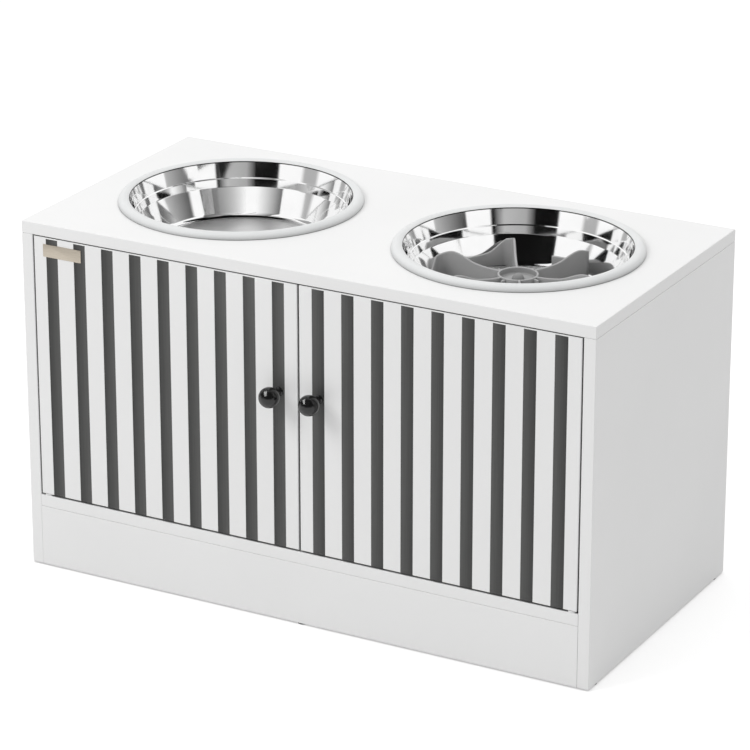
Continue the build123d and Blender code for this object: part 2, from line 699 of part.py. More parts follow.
with BuildPart() as suction_cup:
    with BuildSketch(section):
        with BuildLine():
            Polyline(
                (0, hub_floor_top + CUP_NUB_RADIUS),
                (0, insert_base + CUP_HEIGHT - CUP_WALL),
                (CUP_RADIUS, insert_base),
                (CUP_RADIUS, insert_base + CUP_WALL),
                (CUP_NECK_RADIUS, insert_base + CUP_HEIGHT),
                (CUP_NECK_RADIUS, hub_floor_top),
                (CUP_NUB_RADIUS, hub_floor_top),
            )
            CenterArc((0, hub_floor_top), CUP_NUB_RADIUS, 0, 90)
        make_face()
    revolve(axis=bowl_axis)
save(suction_cup, "feeder_suction_cup")
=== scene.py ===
"""Looks for the raised feeding cabinet: finishes, smooth bowls, rings, knobs and insert, light and camera.

Blender works in metres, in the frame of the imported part: +Z up, doors towards -Y, floor at z 0.
"""
import json
import math

import bmesh
import bpy
from mathutils import Matrix, Vector


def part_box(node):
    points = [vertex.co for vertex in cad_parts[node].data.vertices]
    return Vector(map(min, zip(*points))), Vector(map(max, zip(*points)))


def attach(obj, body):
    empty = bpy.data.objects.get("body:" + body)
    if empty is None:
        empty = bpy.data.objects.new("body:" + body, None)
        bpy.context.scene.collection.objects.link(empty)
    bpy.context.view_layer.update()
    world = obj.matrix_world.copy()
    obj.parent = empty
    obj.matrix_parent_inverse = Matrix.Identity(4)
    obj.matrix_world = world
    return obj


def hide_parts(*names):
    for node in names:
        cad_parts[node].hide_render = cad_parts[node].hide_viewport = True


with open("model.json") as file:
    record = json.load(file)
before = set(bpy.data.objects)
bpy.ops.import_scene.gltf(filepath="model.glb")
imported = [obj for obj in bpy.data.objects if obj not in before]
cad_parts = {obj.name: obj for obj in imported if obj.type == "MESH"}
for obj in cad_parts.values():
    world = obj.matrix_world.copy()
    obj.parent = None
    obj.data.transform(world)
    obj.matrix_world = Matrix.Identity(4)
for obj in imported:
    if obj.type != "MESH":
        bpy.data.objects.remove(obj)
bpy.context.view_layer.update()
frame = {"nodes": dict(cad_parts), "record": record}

MM = 0.001
SIDES = ("left", "right")

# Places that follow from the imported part
top_low, top_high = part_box("top_panel")
TOP_FACE = top_high.z
CENTRE_Y = (top_low.y + top_high.y) / 2
FRONT = top_low.y

# Height of the bowls' floor from the top face, in millimetres, for both the bowls' shape and their finish
BOWL_FLOOR = -46.0


def bowl_centre(side_name):
    """The point on a bowl's axis at the level of the cabinet's top face."""
    low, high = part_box(f"{side_name}_bowl")
    return Vector(((low.x + high.x) / 2, (low.y + high.y) / 2, TOP_FACE))


# ---------------------------------------------------------------- materials


class Shader:
    """A node tree with short calls for the nodes that the finishes share."""

    def __init__(self, name):
        self.material = bpy.data.materials.new(name)
        self.material.use_nodes = True
        self.tree = self.material.node_tree
        self.surface = self.tree.nodes["Principled BSDF"]
        self.place = self.add("ShaderNodeTexCoord").outputs["Object"]

    def add(self, kind, **settings):
        """A new node with some of its settings made."""
        node = self.tree.nodes.new(kind)
        for key, value in settings.items():
            setattr(node, key, value)
        return node

    def link(self, source, target):
        """A wire from an output to an input."""
        self.tree.links.new(source, target)

    def stretched(self, scale):
        """Object coordinates scaled by a different amount along each axis."""
        mapping = self.add("ShaderNodeMapping")
        self.link(self.place, mapping.inputs["Vector"])
        mapping.inputs["Scale"].default_value = scale
        return mapping.outputs["Vector"]

    def noise(self, scale, detail=3.0, roughness=0.5, vector=None):
        """Noise with about this many features to a metre."""
        node = self.add("ShaderNodeTexNoise")
        self.link(vector or self.place, node.inputs["Vector"])
        node.inputs["Scale"].default_value = scale
        node.inputs["Detail"].default_value = detail
        node.inputs["Roughness"].default_value = roughness
        return node.outputs["Fac"]

    def moved(self, value, start, end, low, high):
        """A value moved from the range start to end, and held there, to the range low to high."""
        node = self.add("ShaderNodeMapRange")
        self.link(value, node.inputs["Value"])
        node.inputs["From Min"].default_value = start
        node.inputs["From Max"].default_value = end
        node.inputs["To Min"].default_value = low
        node.inputs["To Max"].default_value = high
        return node.outputs["Result"]

    def spread(self, value, low, high):
        """A value from 0 to 1 moved to the range low to high."""
        return self.moved(value, 0.0, 1.0, low, high)

    def along(self, axis):
        """The object coordinate along one axis."""
        apart = self.add("ShaderNodeSeparateXYZ")
        self.link(self.place, apart.inputs["Vector"])
        return apart.outputs[axis]

    def ramp(self, value, stops):
        """A colour ramp with the given (position, colour) stops."""
        node = self.add("ShaderNodeValToRGB")
        self.link(value, node.inputs["Fac"])
        elements = node.color_ramp.elements
        while len(elements) < len(stops):
            elements.new(0.5)
        for element, (position, colour) in zip(elements, stops):
            element.position = position
            element.color = (*colour, 1.0)
        return node.outputs["Color"]

    def maths(self, operation, first, second=None):
        """One step of arithmetic; the second value may be a number."""
        node = self.add("ShaderNodeMath", operation=operation)
        self.link(first, node.inputs[0])
        if isinstance(second, (int, float)):
            node.inputs[1].default_value = second
        elif second is not None:
            self.link(second, node.inputs[1])
        return node.outputs["Value"]

    def mixed(self, blend, first, second):
        """Two colours blended in full, such as by MULTIPLY."""
        node = self.add("ShaderNodeMix", data_type="RGBA", blend_type=blend)
        node.inputs["Factor"].default_value = 1.0
        self.link(first, node.inputs["A"])
        self.link(second, node.inputs["B"])
        return node.outputs["Result"]

    def rising(self, bottom, top, low, high):
        """A value that goes from low to high between two heights."""
        return self.moved(self.along("Z"), bottom, top, low, high)

    def crevice_shade(self, reach, tone, full=0.5):
        """Painted shade: white in the open, falling to the tone in gaps and corners narrower than the reach.

        full is the share of open sky from which a place counts as in the open.
        """
        node = self.add("ShaderNodeAmbientOcclusion", samples=8)
        node.inputs["Distance"].default_value = reach
        return self.ramp(node.outputs["AO"], [(0.05, grey(tone)), (full, grey(1.0))])

    def bump(self, height, strength, depth, under=None):
        """A bump of this depth in metres, laid over another where one is given."""
        node = self.add("ShaderNodeBump")
        node.inputs["Strength"].default_value = strength
        node.inputs["Distance"].default_value = depth
        self.link(height, node.inputs["Height"])
        if under is not None:
            self.link(under, node.inputs["Normal"])
        return node.outputs["Normal"]

    def set(self, **values):
        """Constant values on the surface's own sockets."""
        for key, value in values.items():
            self.surface.inputs[key.replace("_", " ")].default_value = value

    def wire(self, **sources):
        """Wires into the surface's sockets."""
        for key, source in sources.items():
            self.link(source, self.surface.inputs[key.replace("_", " ")])


def grey(value):
    """A neutral colour."""
    return (value, value, value)


def white_board():
    """Satin white lacquer on fibreboard: faint cloudiness, a fine roller texture, and painted shade in gaps
    and corners.
    """
    s = Shader("white_board")
    tones = [(0.3, (0.862, 0.862, 0.860)), (0.7, (0.882, 0.882, 0.880))]
    clouds = s.ramp(s.noise(6.0, detail=4.0), tones)
    # Painted shade: the white darkens towards 0.12 in gaps and corners narrower than 6 mm
    s.wire(Base_Color=s.mixed("MULTIPLY", clouds, s.crevice_shade(0.006, 0.12)))
    s.wire(Roughness=s.spread(s.noise(45.0), 0.38, 0.50))
    roller = s.noise(1500.0, detail=2.0)
    fibres = s.noise(160.0, detail=2.0)
    under = s.bump(fibres, 0.10, 0.00008)
    s.wire(Normal=s.bump(roller, 0.16, 0.00005, under))
    s.set(Specular_IOR_Level=0.4)
    return s.material


# The doors' stripes, in millimetres; the first one's inner edge lies this far from the cabinet's middle
STRIPE_COUNT = 9
STRIPE_WIDTH = 12.75
STRIPE_FROM_MIDDLE = 14.4


def dark_stripe():
    """Charcoal inlay with a fine grain, each strip a little darker towards the door's hinged edge."""
    s = Shader("dark_stripe")
    grain = s.noise(1.0, detail=4.0, vector=s.stretched((1400.0, 300.0, 18.0)))
    low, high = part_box("right_door_strips")
    pitch = (high.x - low.x - STRIPE_WIDTH * MM) / (STRIPE_COUNT - 1)
    from_first = s.maths("SUBTRACT", s.maths("ABSOLUTE", s.along("X")), STRIPE_FROM_MIDDLE * MM)
    in_pitch = s.maths("FRACT", s.maths("DIVIDE", from_first, pitch))
    across = s.maths("MULTIPLY", in_pitch, pitch / (STRIPE_WIDTH * MM))
    tone = s.maths("ADD", s.maths("MULTIPLY", across, 0.8), s.maths("MULTIPLY", grain, 0.4))
    s.wire(Base_Color=s.ramp(tone, [(0.15, (0.088, 0.088, 0.086)), (1.0, (0.030, 0.030, 0.029))]))
    s.wire(Roughness=s.spread(grain, 0.50, 0.62))
    s.wire(Normal=s.bump(grain, 0.25, 0.00006))
    return s.material


def black_knob():
    """Gloss black lacquer with a trace of orange peel."""
    s = Shader("black_knob")
    s.wire(Base_Color=s.ramp(s.noise(400.0), [(0.3, grey(0.008)), (0.7, grey(0.014))]))
    s.wire(Roughness=s.spread(s.noise(220.0), 0.10, 0.16))
    s.wire(Normal=s.bump(s.noise(320.0, detail=1.0), 0.06, 0.00008))
    return s.material


# Heights from the top face between which the bowls' finish changes, in millimetres: a band of painted shade
# under the lip, and the satin floor
GROOVE_SHADE_HEIGHTS = (3.8, 4.3)
SATIN_HEIGHTS = (BOWL_FLOOR + 0.1, BOWL_FLOOR + 0.5)
GROOVE_SHADE_TONE = 0.08
SATIN_ROUGHNESS = 0.42


def bowl_steel():
    """Mirror-polished stainless steel, faintly hazy, with a satin floor and painted shade in the groove under
    the lip, where the ring meets the steel.
    """
    s = Shader("bowl_steel")
    s.set(Metallic=1.0)
    haze = s.noise(60.0, detail=4.0)
    # Painted shade: the colour falls to the groove tone in a band just under the lip
    start, end = (TOP_FACE + height * MM for height in GROOVE_SHADE_HEIGHTS)
    groove_shade = s.rising(start, end, 1.0, GROOVE_SHADE_TONE)
    tone = s.ramp(haze, [(0.3, grey(0.93)), (0.7, grey(0.97))])
    s.wire(Base_Color=s.mixed("MULTIPLY", tone, groove_shade))
    start, end = (TOP_FACE + height * MM for height in SATIN_HEIGHTS)
    satin = s.rising(start, end, SATIN_ROUGHNESS, 0.0)
    s.wire(Roughness=s.maths("ADD", s.spread(haze, 0.045, 0.085), satin))
    return s.material


def steel_hardware():
    """Zinc-plated steel of pins, screws and plates."""
    s = Shader("steel_hardware")
    s.set(Metallic=1.0)
    spangle = s.noise(900.0, detail=3.0)
    s.wire(Base_Color=s.ramp(spangle, [(0.3, (0.55, 0.56, 0.58)), (0.7, (0.68, 0.68, 0.69))]))
    s.wire(Roughness=s.spread(spangle, 0.24, 0.38))
    return s.material


def zinc_fitting():
    """Dull die-cast zinc of the cam locks."""
    s = Shader("zinc_fitting")
    s.set(Metallic=1.0)
    cast = s.noise(1100.0, detail=3.0)
    s.wire(Base_Color=s.ramp(cast, [(0.3, (0.46, 0.47, 0.49)), (0.7, (0.58, 0.59, 0.61))]))
    s.wire(Roughness=s.spread(cast, 0.42, 0.58))
    s.wire(Normal=s.bump(cast, 0.3, 0.00005))
    return s.material


def beech_dowel():
    """Bare beech with short dark flecks along the grain."""
    s = Shader("beech_dowel")
    grain = s.noise(1.0, detail=5.0, vector=s.stretched((260.0, 900.0, 900.0)))
    s.wire(Base_Color=s.ramp(grain, [(0.3, (0.50, 0.34, 0.19)), (0.7, (0.66, 0.48, 0.30))]))
    s.wire(Roughness=s.spread(grain, 0.62, 0.78))
    s.wire(Normal=s.bump(grain, 0.35, 0.00008))
    return s.material


def moulded(name, dark, light, smooth, rough, grain_depth, corner_shade_tone=1.0):
    """A moulded plastic or rubber with a fine tool texture; painted shade darkens its corners and gaps to the
    corner tone.
    """
    s = Shader(name)
    tone = s.ramp(s.noise(30.0, detail=3.0), [(0.3, dark), (0.7, light)])
    if corner_shade_tone < 1.0:
        # Painted shade in corners and gaps narrower than 2 cm
        tone = s.mixed("MULTIPLY", tone, s.crevice_shade(0.02, corner_shade_tone, 0.9))
    s.wire(Base_Color=tone)
    s.wire(Roughness=s.spread(s.noise(180.0), smooth, rough))
    s.wire(Normal=s.bump(s.noise(1800.0, detail=2.0), 0.2, grain_depth))
    return s.material


def pale_ring():
    """Pale soft silicone with a silky sheen, and painted shade where it curves down to the top panel."""
    s = Shader("pale_ring")
    tone = s.ramp(s.noise(30.0), [(0.3, (0.74, 0.75, 0.75)), (0.7, (0.77, 0.78, 0.78))])
    # Painted shade: the ring darkens where it turns down towards the top panel and the bowl
    s.wire(Base_Color=s.mixed("MULTIPLY", tone, s.crevice_shade(0.012, 0.20, 0.95)))
    s.wire(Roughness=s.spread(s.noise(180.0), 0.34, 0.42))
    s.wire(Normal=s.bump(s.noise(1800.0, detail=2.0), 0.2, 0.00003))
    s.set(Sheen_Weight=0.05)
    return s.material


def magnet():
    """Dark ferrite with a fine pitted surface."""
    s = Shader("magnet")
    pits = s.noise(1400.0, detail=3.0)
    s.wire(Base_Color=s.ramp(pits, [(0.3, grey(0.045)), (0.7, grey(0.085))]))
    s.wire(Roughness=s.spread(pits, 0.45, 0.65))
    s.wire(Normal=s.bump(pits, 0.4, 0.00008))
    return s.material


def champagne_plate():
    """Satin champagne metal of the bare plate on the left door, brushed along its length."""
    s = Shader("champagne_plate")
    s.set(Metallic=0.55)
    brushed = s.noise(1.0, detail=4.0, vector=s.stretched((120.0, 900.0, 6000.0)))
    s.wire(Base_Color=s.ramp(brushed, [(0.3, (0.50, 0.44, 0.36)), (0.7, (0.62, 0.56, 0.47))]))
    s.wire(Roughness=s.spread(brushed, 0.36, 0.48))
    s.wire(Normal=s.bump(brushed, 0.2, 0.00003))
    return s.material


finishes = {
    "white_board": white_board(),
    "dark_stripe": dark_stripe(),
    "black_knob": black_knob(),
    "bowl_steel": bowl_steel(),
    "steel_hardware": steel_hardware(),
    "zinc_fitting": zinc_fitting(),
    "beech_dowel": beech_dowel(),
    "white_nylon": moulded("white_nylon", grey(0.78), grey(0.84), 0.36, 0.48, 0.00004),
    "grey_glide": moulded("grey_glide", grey(0.10), grey(0.15), 0.42, 0.55, 0.00006),
    "magnet": magnet(),
    "pale_ring": pale_ring(),
    # The insert's last number is the tone of the painted shade in its corners
    "grey_insert": moulded("grey_insert", grey(0.40), grey(0.45), 0.40, 0.50, 0.00004, 0.35),
    "grey_cup": moulded("grey_cup", grey(0.25), grey(0.29), 0.42, 0.55, 0.00004),
}
for subpart in frame["record"]["subparts"]:
    node = frame["nodes"][subpart["node"]]
    node.data.materials.clear()
    node.data.materials.append(finishes[subpart["material_slot"]])

# ---------------------------------------------------------------- mesh helpers


def rounded(points, radii, steps=10):
    """A chain of points with each inner corner replaced by an arc of its radius."""
    chain = [Vector(points[0])]
    for index, radius in enumerate(radii, start=1):
        corner = Vector(points[index])
        to_last = (Vector(points[index - 1]) - corner).normalized()
        to_next = (Vector(points[index + 1]) - corner).normalized()
        half = to_last.angle(to_next) / 2
        reach = radius / math.tan(half)
        centre = corner + (to_last + to_next).normalized() * (radius / math.sin(half))
        start = corner + to_last * reach - centre
        end = corner + to_next * reach - centre
        sweep = start.angle(end)
        for step in range(steps + 1):
            share = step / steps
            weight_start = math.sin((1 - share) * sweep) / math.sin(sweep)
            weight_end = math.sin(share * sweep) / math.sin(sweep)
            chain.append(centre + start * weight_start + end * weight_end)
    chain.append(Vector(points[-1]))
    return chain


def beside(points, distance):
    """The chain's straight runs moved to the right of its direction, with their crossings as corners."""
    runs = []
    for start, end in zip(points, points[1:]):
        along = (Vector(end) - Vector(start)).normalized()
        right = Vector((along.y, -along.x)) * distance
        runs.append((Vector(start) + right, along))
    moved = [runs[0][0]]
    for (start, along), (next_start, next_along) in zip(runs, runs[1:]):
        across = along.x * next_along.y - along.y * next_along.x
        gap = next_start - start
        share = (gap.x * next_along.y - gap.y * next_along.x) / across
        moved.append(start + along * share)
    last_start, last_along = runs[-1]
    moved.append(last_start + last_along * (Vector(points[-1]) - Vector(points[-2])).length)
    return moved


CREASE_ANGLE = math.radians(30)
ON_AXIS = 1e-6


def shade(mesh):
    """Smooth shading, broken at edges that turn by more than the crease angle."""
    mesh.shade_smooth()
    mesh.set_sharp_from_angle(angle=CREASE_ANGLE)


def settle(bm):
    """Faces sorted by their corners, since Blender's mesh operators may order them otherwise on each run."""
    bm.verts.index_update()
    ranked = sorted(bm.faces, key=lambda face: [vert.index for vert in face.verts])
    rank = {face: place for place, face in enumerate(ranked)}
    bm.faces.sort(key=rank.get)


def make_object(name, bm, body, slot, replaced=()):
    """An object from a bmesh, with its finish, body and the CAD nodes that it stands for."""
    bmesh.ops.recalc_face_normals(bm, faces=bm.faces)
    settle(bm)
    mesh = bpy.data.meshes.new(name)
    bm.to_mesh(mesh)
    bm.free()
    shade(mesh)
    mesh.materials.append(finishes[slot])
    piece = bpy.data.objects.new(name, mesh)
    bpy.context.scene.collection.objects.link(piece)
    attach(piece, body)
    if replaced:
        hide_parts(*replaced)
    return piece


def lathe(bm, profile, origin, axis_out, sideways, segments):
    """Turns a closed (radius, distance) profile, in millimetres, about an axis through origin."""
    third = axis_out.cross(sideways)
    rings = []
    for radius, distance in profile:
        foot = origin + axis_out * (distance * MM)
        if radius < ON_AXIS:
            rings.append([bm.verts.new(foot)])
            continue
        ring = []
        for index in range(segments):
            turn = 2 * math.pi * index / segments
            arm = sideways * math.cos(turn) + third * math.sin(turn)
            ring.append(bm.verts.new(foot + arm * (radius * MM)))
        rings.append(ring)
    for lower, upper in zip(rings, rings[1:] + rings[:1]):
        if len(lower) == 1 and len(upper) == 1:
            continue
        for index in range(segments):
            after = (index + 1) % segments
            corners = [lower[index % len(lower)], lower[after % len(lower)]]
            corners += [upper[after % len(upper)], upper[index % len(upper)]]
            bm.faces.new(dict.fromkeys(corners))


UP = Vector((0, 0, 1))
RIGHT = Vector((1, 0, 0))
LEFT = Vector((-1, 0, 0))
OUT = Vector((0, -1, 0))
BACK = Vector((0, 1, 0))

# ---------------------------------------------------------------- bowls and rings

# Millimetres; heights are from the top face, and pairs are (radius, height)
BOWL_WALL = 1.0
MOUTH_RADIUS = 106.4
LIP_HEIGHT = 5.0
LIP_RADIUS = 109.5
MOUTH_FOOT = (102.0, -10.2)
SHOULDER = (101.2, -11.0)
WAIST = (99.4, -18.6)
FLOOR_RADIUS = 88.0
FLOOR_ROUND = 7.0
WAIST_ROUND = 6.0
BEND_INSIDE = 0.8
BEND_OUTSIDE = 0.4
BOWL_SEGMENTS = 256
RING_RADIUS = 117.2
CROWN = (111.4, 6.5)
RING_LIP_RADIUS = 106.6
RING_SKIRT = 6.0
RING_PLAY = 0.3
RING_WALL_PLAY = 0.1
RING_FOOT_INSET = 0.5
RING_SEGMENTS = 192
CROWN_STEPS = 12
SLOPE_STEPS = 10
CUTOUT_RADIUS = 107.5


def bowl_profile():
    """Closed section of a bowl, from the axis along the inside to the lip and back outside."""
    inside = [
        (0, BOWL_FLOOR),
        (FLOOR_RADIUS, BOWL_FLOOR),
        WAIST,
        SHOULDER,
        MOUTH_FOOT,
        (MOUTH_RADIUS, LIP_HEIGHT),
        (LIP_RADIUS, LIP_HEIGHT),
    ]
    outside = beside(inside, BOWL_WALL)
    inner = rounded(inside, [FLOOR_ROUND, WAIST_ROUND] + [BEND_INSIDE] * 3, steps=24)
    outer_rounds = [FLOOR_ROUND + BOWL_WALL, WAIST_ROUND + BOWL_WALL] + [BEND_OUTSIDE] * 3
    outer = rounded(outside, outer_rounds, steps=16)
    return inner + outer[::-1]


def ring_profile():
    """Closed section of a soft ring that grips the bowl's lip."""
    taper = (MOUTH_RADIUS - MOUTH_FOOT[0]) / (LIP_HEIGHT - MOUTH_FOOT[1])
    wall_top = MOUTH_RADIUS + BOWL_WALL - BOWL_WALL * taper + RING_WALL_PLAY
    wall_end = wall_top - taper * (LIP_HEIGHT - BOWL_WALL + RING_SKIRT)
    skirt = CUTOUT_RADIUS - RING_PLAY
    crown_round = RING_RADIUS - CROWN[0]
    shoulder = CROWN[1] - crown_round
    outline = [
        (RING_LIP_RADIUS, LIP_HEIGHT),
        (LIP_RADIUS, LIP_HEIGHT),
        (LIP_RADIUS, LIP_HEIGHT - BOWL_WALL),
        (wall_top, LIP_HEIGHT - BOWL_WALL),
        (wall_end, -RING_SKIRT),
        (skirt, -RING_SKIRT),
        (skirt, 0),
        (RING_RADIUS - RING_FOOT_INSET, 0),
    ]
    for step in range(CROWN_STEPS + 1):
        turn = math.radians(90 * step / CROWN_STEPS)
        outline.append((CROWN[0] + crown_round * math.cos(turn), shoulder + crown_round * math.sin(turn)))
    for step in range(1, SLOPE_STEPS):
        share = step / SLOPE_STEPS
        radius = CROWN[0] + (RING_LIP_RADIUS - CROWN[0]) * share
        outline.append((radius, CROWN[1] + (LIP_HEIGHT - CROWN[1]) * share * share))
    return outline


for side_name in SIDES:
    middle = bowl_centre(side_name)
    body = f"{side_name}_bowl"
    bm = bmesh.new()
    lathe(bm, bowl_profile(), middle, UP, RIGHT, BOWL_SEGMENTS)
    make_object(f"{side_name}_polished_bowl", bm, body, "bowl_steel", [f"{side_name}_bowl"])
    bm = bmesh.new()
    lathe(bm, ring_profile(), middle, UP, RIGHT, RING_SEGMENTS)
    make_object(f"{side_name}_soft_ring", bm, body, "pale_ring", [f"{side_name}_bowl_ring"])

# ---------------------------------------------------------------- slow feeder insert

# Millimetres and degrees; heights are from the top face
BLADE_COUNT = 6
BLADE_THICKNESS = 2.4
BLADE_EDGE_STEPS = 8
BLADE_END_SHARE = 0.02
STRAIGHT_STEPS = 28
BEND_STEPS = 16
HOOK_STEPS = 24
BEND_RADIUS = 9.0
HOOK_RADIUS = 82.0
HOOK_SWEEP = 34.0
HUB_RADIUS = 19.2
HUB_WALL = 2.2
HUB_TOP = -23.0
HUB_FLOOR = -29.0
HUB_FLOOR_THICKNESS = 2.0
HUB_ROUNDS = (0.6, 0.5, 0.8, 1.0, 1.0, 1.4)
HUB_SEGMENTS = 128
INSERT_BASE = -45.7
# A blade's top edge: height by distance from the hub's axis, and by distance sideways from its straight run
RADIAL_TOP = ((17.0, -23.0), (43.0, -20.8), (66.5, -12.8), (84.0, -18.0))
SIDEWAYS_TOP = ((-2.4, -12.0), (9.0, -19.0), (23.0, -29.5), (47.2, -32.0))
FOOT_START = 72.0
FOOT_SLOPE = 2.5 / 12.0
CUP_NUB_RADIUS = 5.85
CUP_NECK_RADIUS = 4.0
CUP_RADIUS = 15.5
CUP_WALL = 1.6
CUP_HEIGHT = 7.0
CUP_ROUNDS = (0.5, 0.5, 1.5, 0.2)
CUP_SEGMENTS = 96
NECK_PLAY = 0.2
NUB_STEPS = 12
LUG_TURNS = (77, 167, 257, 347)
LUG_SIZE = (5.4, 2.2, 7.0)
LUG_STANDOFF = 2.2
LUG_DROP = 4.6
LUG_ROUND = 0.6


def through(points, place):
    """Height at this place on a smooth curve through (place, height) points, level at its first point."""
    slopes = [0.0]
    for before, after in zip(points, points[2:]):
        slopes.append((after[1] - before[1]) / (after[0] - before[0]))
    slopes.append((points[-1][1] - points[-2][1]) / (points[-1][0] - points[-2][0]))
    place = min(max(place, points[0][0]), points[-1][0])
    index = 0
    while index < len(points) - 2 and place > points[index + 1][0]:
        index += 1
    (start, low), (end, high) = points[index], points[index + 1]
    span = end - start
    t = (place - start) / span
    value = low * (1 + 2 * t) * (1 - t) ** 2 + high * t * t * (3 - 2 * t)
    return value + span * (slopes[index] * t * (1 - t) ** 2 - slopes[index + 1] * t * t * (1 - t))


def blade_path():
    """Points along a blade's middle: straight out, round a bend, and along the bowl's wall."""
    reach = HOOK_RADIUS - BEND_RADIUS
    straight_end = math.sqrt(reach**2 - BEND_RADIUS**2)
    bend_end = math.asin(BEND_RADIUS / reach)
    path = []
    root = HUB_RADIUS - HUB_WALL / 2
    for step in range(STRAIGHT_STEPS):
        path.append(Vector((root + (straight_end - root) * step / STRAIGHT_STEPS, 0)))
    for step in range(BEND_STEPS):
        turn = (math.pi / 2 + bend_end) * step / BEND_STEPS
        path.append(Vector((straight_end + BEND_RADIUS * math.sin(turn), BEND_RADIUS * (1 - math.cos(turn)))))
    for step in range(HOOK_STEPS + 1):
        turn = bend_end + (math.radians(HOOK_SWEEP) - bend_end) * step / HOOK_STEPS
        path.append(Vector((math.cos(turn), math.sin(turn))) * HOOK_RADIUS)
    return path


def add_blade(bm, middle, turn):
    """One blade with a rounded top edge and a rounded end."""
    path = blade_path()
    spin = Matrix.Rotation(turn, 2)
    half = BLADE_THICKNESS / 2
    sections = []
    for index, point in enumerate(path):
        before = path[max(index - 1, 0)]
        after = path[min(index + 1, len(path) - 1)]
        along = (after - before).normalized()
        across = Vector((-along.y, along.x))
        top = min(through(RADIAL_TOP, point.length), through(SIDEWAYS_TOP, point.y))
        bottom = INSERT_BASE + max(0.0, (point.length + half - FOOT_START) * FOOT_SLOPE)
        to_end = (len(path) - 1 - index) * (path[-1] - path[-2]).length
        narrow = 1.0
        if to_end < half:
            narrow = math.sqrt(max(BLADE_END_SHARE, 1 - (1 - to_end / half) ** 2))
        outline = [(-half * narrow, bottom)]
        for step in range(BLADE_EDGE_STEPS + 1):
            around = math.pi * step / BLADE_EDGE_STEPS
            outline.append((-half * narrow * math.cos(around), top - half + half * math.sin(around)))
        outline.append((half * narrow, bottom))
        section = []
        for offset, height in outline:
            flat = spin @ (point + across * offset)
            section.append(bm.verts.new(middle + Vector((flat.x, flat.y, height)) * MM))
        sections.append(section)
    for first, second in zip(sections, sections[1:]):
        for index in range(len(first)):
            after = (index + 1) % len(first)
            bm.faces.new((first[index], first[after], second[after], second[index]))
    bm.faces.new(sections[0])
    bm.faces.new(sections[-1][::-1])


def add_lug(bm, middle, turn):
    """A small clip on the hub's outside."""
    created = bmesh.ops.create_cube(bm, size=1.0)["verts"]
    bmesh.ops.scale(bm, verts=created, vec=Vector(LUG_SIZE) * MM)
    place = Matrix.Translation(middle) @ Matrix.Rotation(turn, 4, "Z")
    place = place @ Matrix.Translation(Vector((HUB_RADIUS + LUG_STANDOFF, 0, HUB_TOP - LUG_DROP)) * MM)
    bmesh.ops.transform(bm, matrix=place, verts=created)
    edges = {edge for vert in created for edge in vert.link_edges}
    bmesh.ops.bevel(bm, geom=list(edges), offset=LUG_ROUND * MM, segments=3, affect="EDGES", profile=0.5)


middle = bowl_centre("right")
bm = bmesh.new()
for index in range(BLADE_COUNT):
    add_blade(bm, middle, 2 * math.pi * index / BLADE_COUNT)
for turn in LUG_TURNS:
    add_lug(bm, middle, math.radians(turn))
hub_inside = HUB_RADIUS - HUB_WALL
hub = [
    (CUP_NECK_RADIUS + NECK_PLAY, HUB_FLOOR - HUB_FLOOR_THICKNESS),
    (hub_inside, HUB_FLOOR - HUB_FLOOR_THICKNESS),
    (hub_inside, INSERT_BASE),
    (HUB_RADIUS, INSERT_BASE),
    (HUB_RADIUS, HUB_TOP),
    (hub_inside, HUB_TOP),
    (hub_inside, HUB_FLOOR),
    (CUP_NECK_RADIUS + NECK_PLAY, HUB_FLOOR),
]
lathe(bm, rounded(hub, HUB_ROUNDS, steps=6), middle, UP, RIGHT, HUB_SEGMENTS)
make_object("blade_insert", bm, "slow_feeder", "grey_insert", ["slow_feeder_insert"])

cup = [
    (0, INSERT_BASE + CUP_HEIGHT - CUP_WALL),
    (CUP_RADIUS, INSERT_BASE),
    (CUP_RADIUS, INSERT_BASE + CUP_WALL),
    (CUP_NECK_RADIUS, INSERT_BASE + CUP_HEIGHT),
    (CUP_NECK_RADIUS, HUB_FLOOR),
    (CUP_NUB_RADIUS, HUB_FLOOR),
]
nub = []
for step in range(1, NUB_STEPS + 1):
    turn = math.pi / 2 * step / NUB_STEPS
    nub.append((CUP_NUB_RADIUS * math.cos(turn), HUB_FLOOR + CUP_NUB_RADIUS * math.sin(turn)))
bm = bmesh.new()
lathe(bm, rounded(cup, CUP_ROUNDS) + nub, middle, UP, RIGHT, CUP_SEGMENTS)
make_object("rubber_cup", bm, "slow_feeder", "grey_cup", ["feeder_suction_cup"])

# ---------------------------------------------------------------- knobs and plate

# Millimetres; heights are outwards from the door
KNOB_RADIUS = 9.85
KNOB_FOOT_RADIUS = 4.4
KNOB_FOOT = 0.8
KNOB_NECK_START = 2.0
KNOB_NECK_RADIUS = 3.5
KNOB_STEPS = 48
KNOB_SEGMENTS = 96

for side_name in SIDES:
    low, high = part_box(f"{side_name}_knob")
    foot = Vector(((low.x + high.x) / 2, high.y, (low.z + high.z) / 2))
    ball_centre = (high.y - low.y) / MM - KNOB_RADIUS
    knob = [(0, 0), (KNOB_FOOT_RADIUS, 0), (KNOB_FOOT_RADIUS, KNOB_FOOT), (KNOB_NECK_RADIUS, KNOB_NECK_START)]
    start = math.asin(KNOB_NECK_RADIUS / KNOB_RADIUS)
    for step in range(KNOB_STEPS + 1):
        turn = start + (math.pi - start) * step / KNOB_STEPS
        knob.append((KNOB_RADIUS * math.sin(turn), ball_centre - KNOB_RADIUS * math.cos(turn)))
    knob[-1] = (0, ball_centre + KNOB_RADIUS)
    bm = bmesh.new()
    lathe(bm, knob, foot, OUT, RIGHT, KNOB_SEGMENTS)
    make_object(f"{side_name}_gloss_knob", bm, f"{side_name}_door", "black_knob", [f"{side_name}_knob"])

# Millimetres, from the cabinet's left side and from the floor
PLATE_LEFT = 23.8
PLATE_WIDTH = 41.8
PLATE_LOW = 318.2
PLATE_HEIGHT = 12.4
PLATE_THICKNESS = 0.5
PLATE_ROUND = 0.6
PLATE_EDGE_ROUND = 0.15
PLATE_CORNER_STEPS = 6


